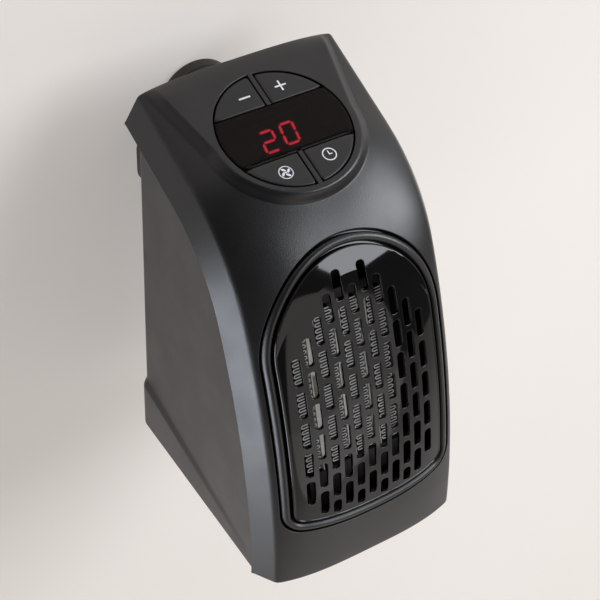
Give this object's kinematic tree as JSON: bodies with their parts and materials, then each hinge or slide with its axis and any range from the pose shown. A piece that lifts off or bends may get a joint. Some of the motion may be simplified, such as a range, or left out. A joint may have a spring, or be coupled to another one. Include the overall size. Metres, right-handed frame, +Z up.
{
  "type": "plug-in fan heater",
  "caption": "Plug-in wall fan heater: swivelling plug, curved fascia with a round control panel, arched slotted outlet, ceramic heating core and axial fan behind it.",
  "frame": {"origin": "centre of the plug's pin face, which rests on the wall socket", "axes": "+Y into the wall along the pins, +Z up, +X to the right of someone who faces the heater"},
  "size_m": [0.0848, 0.1484, 0.154],
  "materials": {
    "satin_black_plastic": "satin",
    "gloss_black_plastic": "gloss",
    "smoked_lens": "gloss",
    "button_plastic": "satin",
    "inner_plastic": "matte",
    "beige_ceramic": "matte",
    "aluminium": "satin",
    "brass": "satin",
    "steel": "satin",
    "circuit_board": "satin",
    "copper_winding": "satin",
    "wire_insulation": "satin"
  },
  "bodies": {
    "plug": {"plug_base": "inner_plastic", "plug_shell": "inner_plastic", "earth_pin": "brass", "live_pin": "brass", "neutral_pin": "brass", "live_pin_sleeve": "inner_plastic", "neutral_pin_sleeve": "inner_plastic", "fuse_carrier": "inner_plastic", "fuse": "beige_ceramic", "swivel_retainer": "inner_plastic", "supply_lead": "inner_plastic", "plug_screw_left": "steel", "plug_screw_right": "steel", "retainer_screw_left": "steel", "retainer_screw_right": "steel"},
    "heater": {"rear_housing": "satin_black_plastic", "front_fascia": "satin_black_plastic", "outlet_ring": "satin_black_plastic", "outlet_grille": "gloss_black_plastic", "display_lens": "smoked_lens", "control_board": "circuit_board", "led_display": "inner_plastic", "board_capacitor": "beige_ceramic", "board_relay": "inner_plastic", "core_frame": "inner_plastic", "fin_pack_1": "aluminium", "fin_pack_2": "aluminium", "fin_pack_3": "aluminium", "fin_pack_4": "aluminium", "heating_bar_1": "beige_ceramic", "heating_bar_2": "beige_ceramic", "heating_bar_3": "beige_ceramic", "thermal_cutout": "steel", "fan_frame": "inner_plastic", "fan_bearing": "brass", "motor_stator": "copper_winding", "switch_body": "inner_plastic", "terminal_block": "beige_ceramic", "housing_screw_upper_left": "steel", "housing_screw_lower_left": "steel", "housing_screw_upper_right": "steel", "housing_screw_lower_right": "steel", "board_screw_left": "steel", "board_screw_right": "steel", "fan_screw_upper": "steel", "fan_screw_lower": "steel", "lead_block_to_switch": "wire_insulation", "lead_block_to_board": "wire_insulation", "lead_board_to_core": "wire_insulation", "lead_switch_to_fan": "wire_insulation", "tact_switch_minus": "inner_plastic", "tact_switch_plus": "inner_plastic", "tact_switch_speed": "inner_plastic", "tact_switch_timer": "inner_plastic"},
    "fan": {"fan_rotor": "inner_plastic"},
    "rocker": {"switch_rocker": "gloss_black_plastic"},
    "minus_button": {"button_minus": "button_plastic"},
    "plus_button": {"button_plus": "button_plastic"},
    "speed_button": {"button_speed": "button_plastic"},
    "timer_button": {"button_timer": "button_plastic"}
  },
  "joints": [
    {"name": "plug_swivel", "type": "hinge", "parent": "plug", "child": "heater", "pos_m": [0, 0, 0], "axis": [0, 1, 0], "range_deg": [-90, 90]},
    {"name": "fan_spin", "type": "hinge", "parent": "heater", "child": "fan", "pos_m": [0, -0.09725, -0.0531], "axis": [0, -0.9561, 0.2929], "continuous": true},
    {"name": "rocker_hinge", "type": "hinge", "parent": "heater", "child": "rocker", "pos_m": [0.03963, -0.05, -0.036], "axis": [-0.0367, 0.9993, 0], "range_deg": [-16, 0]},
    {"name": "minus_slide", "type": "slide", "parent": "heater", "child": "minus_button", "axis": [0, 0.3024, -0.9532], "range_m": [0, 0.0005], "stiffness_N_per_m": 600, "springref_m": -0.001},
    {"name": "plus_slide", "type": "slide", "parent": "heater", "child": "plus_button", "axis": [0, 0.3024, -0.9532], "range_m": [0, 0.0005], "stiffness_N_per_m": 600, "springref_m": -0.001},
    {"name": "speed_slide", "type": "slide", "parent": "heater", "child": "speed_button", "axis": [0, 0.3024, -0.9532], "range_m": [0, 0.0005], "stiffness_N_per_m": 600, "springref_m": -0.001},
    {"name": "timer_slide", "type": "slide", "parent": "heater", "child": "timer_button", "axis": [0, 0.3024, -0.9532], "range_m": [0, 0.0005], "stiffness_N_per_m": 600, "springref_m": -0.001}
  ]
}
